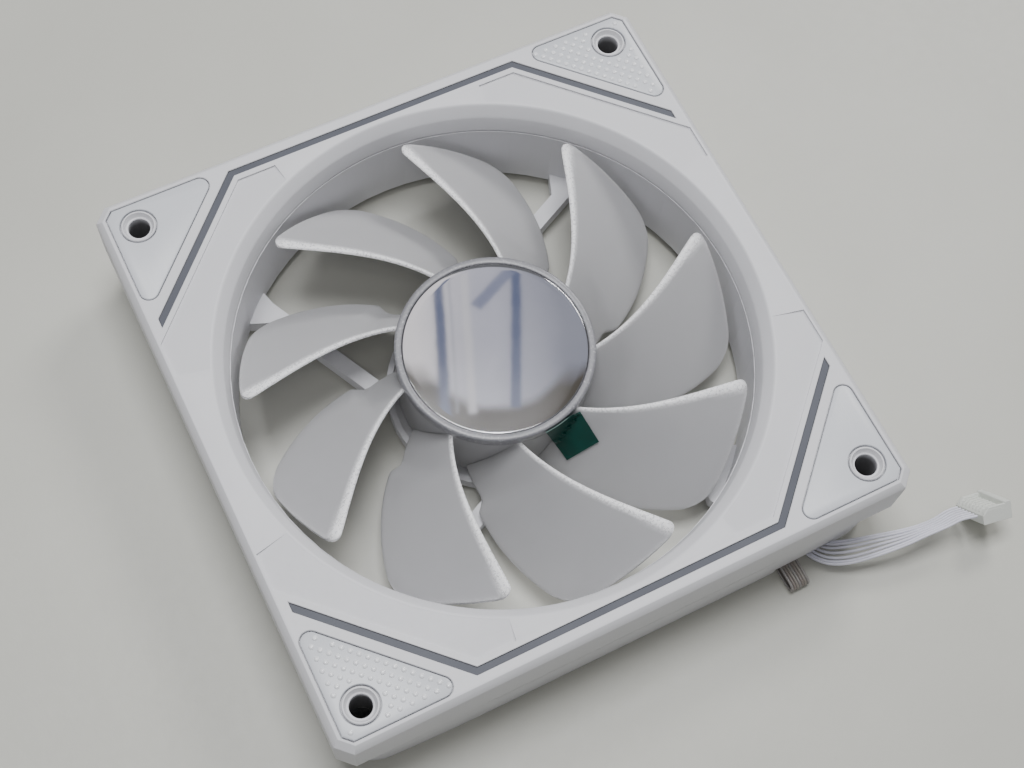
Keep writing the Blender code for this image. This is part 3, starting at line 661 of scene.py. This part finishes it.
def add_dots(bm, turn):
    """Low round dots on a staggered grid that runs along the fan's own sides."""
    for j in range(-16, 17):
        for i in range(-9, 10):
            along = (i + 0.5 * (j % 2)) * DOT_PITCH
            x, y = turned([(along, j * DOT_ROW)], -turn)[0]
            if inside_pad(x, y, DOT_MARGIN):
                levels = ((0.56, -0.05), (0.53, 0.04), (0.42, 0.14), (0.22, 0.20))
                stack(bm, [(circle(radius, 10, (x, y)), HEIGHT + lift) for radius, lift in levels])


# Rotor

def leading_angle(radius):
    """Sweep of a blade's leading edge, in degrees about the fan's axis."""
    span = radius - 20.0
    return -20.0 + 1.42 * span - 0.016 * span * span


def trailing_angle(radius):
    """Sweep of a blade's trailing edge, which is cut back in a small step close to the hub."""
    if radius < 25.6:
        return -40.5 - 1.75 * (25.6 - radius)
    if radius < 28.5:
        return -40.5 - 0.345 * (radius - 25.6)
    return -41.5 + 1.083 * (radius - 28.5)


def blade_half(tip, chord):
    """Half of a blade's thickness: a round leading bead, a thin trailing edge."""
    full = 0.9 - 0.25 * tip
    if chord < BEAD_END:
        return full * math.sqrt(max(0.0, 1.0 - (1.0 - chord / BEAD_END) ** 2))
    if chord > THIN_EDGE:
        return 0.4 * full * math.sqrt(max(0.0, 1.0 - ((chord - THIN_EDGE) / 0.03) ** 2))
    return full * (1.0 - 0.6 * (chord - BEAD_END) / 0.9)


def blade_point(radius, chord, side):
    """A point on a blade's upper (side 1) or lower (side -1) face."""
    tip = max(0.0, (radius - ROOT_RADIUS) / (TIP_RADIUS - ROOT_RADIUS))
    lead, trail = leading_angle(radius), trailing_angle(radius)
    angle = math.radians(lead + (trail - lead) * chord)
    lead_height = 19.4 + 2.4 * tip ** 0.7
    height = lead_height + (6.4 - lead_height) * chord ** 1.15
    return (radius * math.cos(angle), radius * math.sin(angle), height + side * blade_half(tip, chord))


def tip_round(chord):
    """How far the tip is drawn in, to round its two corners."""
    if chord < TIP_LEAD:
        return 2.6 * (1.0 - math.sqrt(max(0.0, 1.0 - ((TIP_LEAD - chord) / TIP_LEAD) ** 2)))
    if chord > TIP_TRAIL:
        return 4.2 * (1.0 - math.sqrt(max(0.0, 1.0 - ((chord - TIP_TRAIL) / 0.16) ** 2)))
    return 0.0


def add_blade(bm, turn, bead):
    """One blade, with its leading edge and its tip marked in the bead layer, where the blade look paints its
    highlight and glow and makes the plastic glossier.
    """
    chords = [0.0, 0.004, 0.012, 0.025, 0.042, BEAD_END, 0.1, TIP_LEAD]
    chords += [TIP_LEAD + 0.70 * i / 14 for i in range(1, 15)]
    chords += [0.87, 0.90, 0.93, 0.955, THIN_EDGE, 0.985, 0.995, 1.0]
    spans = [i / 22 for i in range(22)] + [0.978, 0.992, 1.0]
    rings = []
    marks = []
    for span in spans:
        ring = []
        for side, order in ((1.0, chords), (-1.0, chords[-2:0:-1])):
            for chord in order:
                outer = TIP_RADIUS - tip_round(chord)
                radius = ROOT_RADIUS + (outer - ROOT_RADIUS) * span
                x, y, z = blade_point(radius, chord, side)
                ring.append((*turned([(x, y)], turn)[0], z))
                breadth = radius * math.radians(leading_angle(radius) - trailing_angle(radius))
                fade = max(0.0, 1.0 - chord * breadth / (1.1 + 1.9 * span ** 2))
                rim = max(0.0, (span - 0.975) / 0.025) * 0.25
                marks.append(max(min(1.0, fade * 2.2) * (0.75 + 0.25 * span), rim))
        rings.append(ring)
    first = len(bm.verts)
    loft(bm, rings)
    bm.verts.ensure_lookup_table()
    for vert, mark in zip(bm.verts[first:], marks):
        vert[bead] = mark


def make_rotor(looks):
    """The cup with its blades, the clear ring and the slightly domed mirror."""
    bm = bmesh.new()
    bead = bm.verts.layers.float.new("bead")
    cup = [(4.0, 17.9), (CUP_INNER, 17.9), (CUP_INNER, 5.0), (CUP_OUTER - 0.2, 5.0), (CUP_OUTER, 5.2),
           (CUP_OUTER, 20.2), (4.0, 20.2)]
    lathe(bm, cup)
    for k in range(BLADES):
        add_blade(bm, 360.0 / BLADES * k, bead)
    add_piece("blades", bm, "rotor", looks["blade_frosted"], ["impeller"], 60.0)

    ring = [(18.24, 20.5), (19.4, 20.5), (19.66, 20.75), (19.7, 21.4), (19.7, 22.7), (19.62, 22.95),
            (19.4, 23.1), (19.2, 23.14), (18.5, 23.12), (18.36, 23.08), (18.27, 22.99), (18.24, 22.85),
            (18.24, 22.6)]
    ring_bm = lathe(bmesh.new(), ring)
    add_piece("ring", ring_bm, "rotor", looks["ring_clear"], ["hub_ring"], 60.0)

    dome = [(0.0, 20.6), (17.95, 20.6), (18.12, 20.8), (18.14, 22.7), (18.1, 22.86), (18.03, 22.93)]
    steps = 14
    for i in range(steps + 1):
        radius = MIRROR_RADIUS * (1.0 - i / steps)
        dome.append((radius, 22.94 + 0.5 * (1.0 - (radius / MIRROR_RADIUS) ** 2)))
    dome_bm = lathe(bmesh.new(), dome)
    add_piece("mirror", dome_bm, "rotor", looks["mirror"], ["mirror_cap"], 60.0)


# Cable

def smooth_route(points, count):
    """Points on one smooth curve (Catmull-Rom) through a route."""
    nodes = [Vector(point) for point in points]
    nodes = [nodes[0] * 2.0 - nodes[1]] + nodes + [nodes[-1] * 2.0 - nodes[-2]]
    spans = len(points) - 1
    made = []
    for i in range(count):
        place = i * spans / (count - 1)
        k = min(int(place), spans - 1)
        t = place - k
        a, b, c, d = nodes[k:k + 4]
        made.append(0.5 * ((2.0 * b) + (c - a) * t + (2.0 * a - 5.0 * b + 4.0 * c - d) * t * t
                           + (3.0 * b - a - 3.0 * c + d) * t ** 3))
    return made


def ease(value, start, end):
    """0 up to start, 1 from end on, and a smooth rise between."""
    t = min(1.0, max(0.0, (value - start) / (end - start)))
    return t * t * (3.0 - 2.0 * t)


def wire_route(route, index, count, across=None, splay=0.0, roll=0.0, fan=0.0):
    """One wire's centre line: its place across the ribbon, which splits in two near the exit,
    rolls over and fans out towards the connector."""
    points = smooth_route(route, count)
    offset = (index - 0.5 * (WIRES - 1)) * WIRE_PITCH
    made = []
    for i, point in enumerate(points):
        ahead = points[min(i + 1, count - 1)] - points[max(i - 1, 0)]
        side = Vector(across) if across else ahead.cross(Vector((0.0, 0.0, 1.0))).normalized()
        up = side.cross(ahead).normalized()
        t = i / (count - 1)
        angle = math.radians(roll) * ease(t, 0.3, 0.9)
        side, up = (side * math.cos(angle) + up * math.sin(angle),
                    up * math.cos(angle) - side * math.sin(angle))
        hump = math.sin(math.pi * min(1.0, t / 0.75)) ** 2 if t < 0.75 else 0.0
        spread = splay * hump * (0.9 if offset > 0.3 else -0.9 if offset < -0.3 else 0.0)
        lift = splay * hump * 0.5 * math.sin(index * 2.1)
        made.append(point + side * (offset * (1.0 + fan * ease(t, 0.65, 1.0)) + spread) + up * lift)
    return made


def wire_curve(name, points, skin, radius):
    data = bpy.data.curves.new(name, 'CURVE')
    data.dimensions = '3D'
    data.bevel_depth = radius * MM
    data.bevel_resolution = 3
    data.use_fill_caps = True
    spline = data.splines.new('POLY')
    spline.points.add(len(points) - 1)
    for slot, point in zip(spline.points, points):
        slot.co = (*(point * MM), 1.0)
    data.materials.append(skin)
    piece = bpy.data.objects.new(name, data)
    bpy.context.scene.collection.objects.link(piece)
    return piece


def make_cords(looks):
    plug = make_plug(looks)
    for index in range(WIRES):
        points = wire_route(ROUTE_CABLE, index, 44, splay=0.62, roll=54.0, fan=0.9)
        wire = wire_curve(f"wire_{index + 1}", points, looks["wire_lavender"], WIRE_RADIUS)
        settle(wire, "frame", ["ribbon_cable"])
    # Painted shade and painted reflection: the loop's wires are coloured a dark warm grey for the fan's
    # shadow and the table's warm light on them.
    painted_shade_tints = [(0.34, 0.32, 0.31), (0.30, 0.26, 0.24), (0.36, 0.33, 0.30)]
    skins = [wire_look(f"look_loop_painted_shade_{k + 1}", tint).material for k, tint in enumerate(painted_shade_tints)]
    for index in range(WIRES):
        points = wire_route(ROUTE_LOOP, index, 44, (1.0, 0.0, 0.0))
        wire = wire_curve(f"loop_{index + 1}", points, skins[index % 3], WIRE_RADIUS)
        settle(wire, "frame", ["ribbon_loop"])
    for index in range(WIRES):
        points = wire_route(ROUTE_INNER, index, 24)
        wire = wire_curve(f"inner_{index + 1}", points, looks["wire_lavender"], WIRE_RADIUS)
        settle(wire, "frame", ["ribbon_inner"])


def make_plug(looks):
    """The connector: a ribbed back, a raised front bar and a keyed nose."""
    half = 4.7
    side_view = [(-3.3, -1.7), (-3.15, -1.85), (3.15, -1.85), (3.3, -1.7), (3.3, 1.6), (3.05, 1.85),
                 (2.1, 1.85), (1.9, 1.7), (1.75, 0.6), (1.1, 0.6), (0.95, 1.05), (-2.2, 1.05), (-3.3, 0.1)]
    bm = bmesh.new()
    loft(bm, [[(x, y, z) for x, z in side_view] for y in (half, -half)])
    for i in range(8):
        y = -half + 0.75 + i * (2.0 * half - 1.5) / 7.0
        rib = [(-2.9, 0.2), (0.9, 0.2), (0.9, 1.25), (0.7, 1.45), (-1.9, 1.45), (-2.9, 0.6)]
        loft(bm, [[(x, y + w, z) for x, z in rib] for w in (0.24, -0.24)])
    for y in (-half + 0.33, half - 0.33):
        rail = [(-3.1, 0.0), (2.2, 0.0), (2.2, 1.5), (-1.9, 1.5), (-3.1, 0.4)]
        loft(bm, [[(x, y + w, z) for x, z in rail] for w in (0.3, -0.3)])
    for y in (-3.0, 0.0, 3.0):
        key = [(3.1, -1.0), (3.6, -0.8), (3.6, 0.7), (3.1, 0.9)]
        loft(bm, [[(x, y + w, z) for x, z in key] for w in (0.5, -0.5)])
    plug = new_object("plug", bm, 30.0)
    bevel = plug.modifiers.new("edges", 'BEVEL')
    bevel.width = 0.08 * MM
    bevel.segments = 2
    bevel.limit_method = 'ANGLE'
    plug.location = Vector(PLUG_PLACE) * MM
    plug.rotation_euler = [math.radians(angle) for angle in PLUG_TURN]
    plug.data.materials.append(looks["nylon_white"])
    settle(plug, "frame", ["connector"])
    return plug


# Stage

def make_stage():
    bpy.ops.mesh.primitive_plane_add(size=3.0, location=(0.0, 0.0, 0.0))
    floor = bpy.context.object
    floor.name = "floor"
    t = Tree("look_floor")
    slow = t.noise(14.0, 4.0)
    fine = t.noise(420.0, 3.0)
    base = t.vary(slow, (0.53, 0.53, 0.48, 1.0), (0.58, 0.58, 0.53, 1.0))
    t.set(Base_Color=base, Roughness=t.spread(fine, 0.42, 0.54), Normal=t.bump(fine, 0.00004))
    floor.data.materials.append(t.material)


def glow(name, colour):
    """A plain glowing look, for what the mirror reflects."""
    t = Tree(name)
    t.set(Base_Color=(0.0, 0.0, 0.0, 1.0), Emission_Color=colour, Emission_Strength=1.0)
    t.shader.inputs["Specular IOR Level"].default_value = 0.0
    return t.material


def ceiling_look():
    """A ceiling that is paler on its left, greyer on its right and warm at one rim."""
    t = Tree("look_ceiling")
    where = t.add("ShaderNodeSeparateXYZ", {"Vector": t.place()}).outputs
    cloud = t.noise(9.0, 4.0)
    x = t.math('ADD', where[0], t.spread(cloud, -0.02, 0.02))
    base = t.mix(t.spread(x, 0.0, 1.0, -0.10, -0.03), (1.0, 0.96, 0.97, 1.0), (0.58, 0.58, 0.66, 1.0))
    base = t.mix(t.spread(x, 0.0, 1.0, 0.0, 0.09), base, (0.32, 0.33, 0.39, 1.0))
    reach = t.math('ADD', t.reach(where[0], where[1]), t.spread(cloud, -0.012, 0.012))
    rim = t.spread(reach, 0.0, 1.0, 0.086, 0.098)
    low = t.math('MULTIPLY', rim, t.spread(where[1], 1.0, 0.0, -0.06, -0.02))
    base = t.mix(low, base, (0.10, 0.09, 0.075, 1.0))
    t.set(Base_Color=(0.0, 0.0, 0.0, 1.0), Emission_Color=base, Emission_Strength=1.0)
    t.shader.inputs["Specular IOR Level"].default_value = 0.0
    return t.material


def make_ceiling():
    """What the mirror shows: a pale ceiling with dark beams, seen in reflections only."""
    turn = Matrix.Translation((0.1415, 0.2266, 0.6)) @ Matrix.Rotation(math.radians(-25.0), 4, 'Z')
    dark = glow("look_beam", (0.13, 0.155, 0.26, 1.0))
    faint = glow("look_seam", (0.42, 0.43, 0.50, 1.0))
    bright = glow("look_streak", (0.74, 0.73, 0.76, 1.0))
    sheets = [("ceiling", [(-0.19, -0.19), (0.19, -0.19), (0.19, 0.19), (-0.19, 0.19)], 0.0, ceiling_look())]
    beams = [("beam_left", (-0.076, 0.15), (-0.0645, -0.108), 0.013, dark),
             ("beam_right", (0.033, 0.15), (0.0215, -0.092), 0.013, dark),
             ("brace", (0.030, 0.137), (-0.024, 0.062), 0.016, glow("look_brace", (0.27, 0.29, 0.40, 1.0))),
             ("seam", (-0.060, 0.14), (-0.050, -0.10), 0.0025, faint),
             ("streak", (-0.040, 0.14), (-0.031, -0.10), 0.010, bright)]
    for name, start, end, width, skin in beams:
        along = (Vector(end) - Vector(start)).normalized() * (0.5 * width)
        side = Vector((-along.y, along.x))
        a, b = Vector(start), Vector(end)
        sheets.append((name, [a - side, b - side, b + side, a + side], -0.004, skin))
    for name, outline, drop, skin in sheets:
        mesh = bpy.data.meshes.new(name)
        mesh.from_pydata([(x, y, drop) for x, y in outline], [], [(0, 1, 2, 3)])
        mesh.materials.append(skin)
        sheet = bpy.data.objects.new(name, mesh)
        sheet.matrix_world = turn
        bpy.context.scene.collection.objects.link(sheet)
        for ray in ("camera", "diffuse", "transmission", "volume_scatter", "shadow"):
            setattr(sheet, "visible_" + ray, False)


def add_area(name, place, size, watts, colour):
    """A lamp that faces the origin."""
    data = bpy.data.lights.new(name, 'AREA')
    data.shape = 'RECTANGLE'
    data.size, data.size_y = size
    data.energy = watts
    data.color = colour
    lamp = bpy.data.objects.new(name, data)
    lamp.location = place
    lamp.rotation_euler = (-Vector(place)).to_track_quat('-Z', 'Y').to_euler()
    bpy.context.scene.collection.objects.link(lamp)


def make_light():
    world = bpy.data.worlds.new("world")
    bpy.context.scene.world = world
    world.use_nodes = True
    sky = world.node_tree.nodes["Background"]
    sky.inputs["Color"].default_value = (0.95, 0.96, 1.0, 1.0)
    sky.inputs["Strength"].default_value = 0.16
    add_area("overhead", (0.03, 0.17, 1.05), (0.5, 0.4), 9.2, (0.98, 0.985, 1.0))
    add_area("key", (0.65, 0.45, 0.75), (0.28, 0.28), 4.4, (1.0, 0.99, 0.97))
    add_area("fill", (-0.17, -0.27, 0.8), (0.25, 0.25), 0.8, (1.0, 0.99, 0.97))


def main():
    make_camera()
    looks = make_looks()
    make_cords(looks)
    dress_frame(looks)
    make_cover(looks)
    make_pads(looks)
    make_rotor(looks)
    make_stage()
    make_ceiling()
    make_light()


main()

bpy.context.view_layer.update()
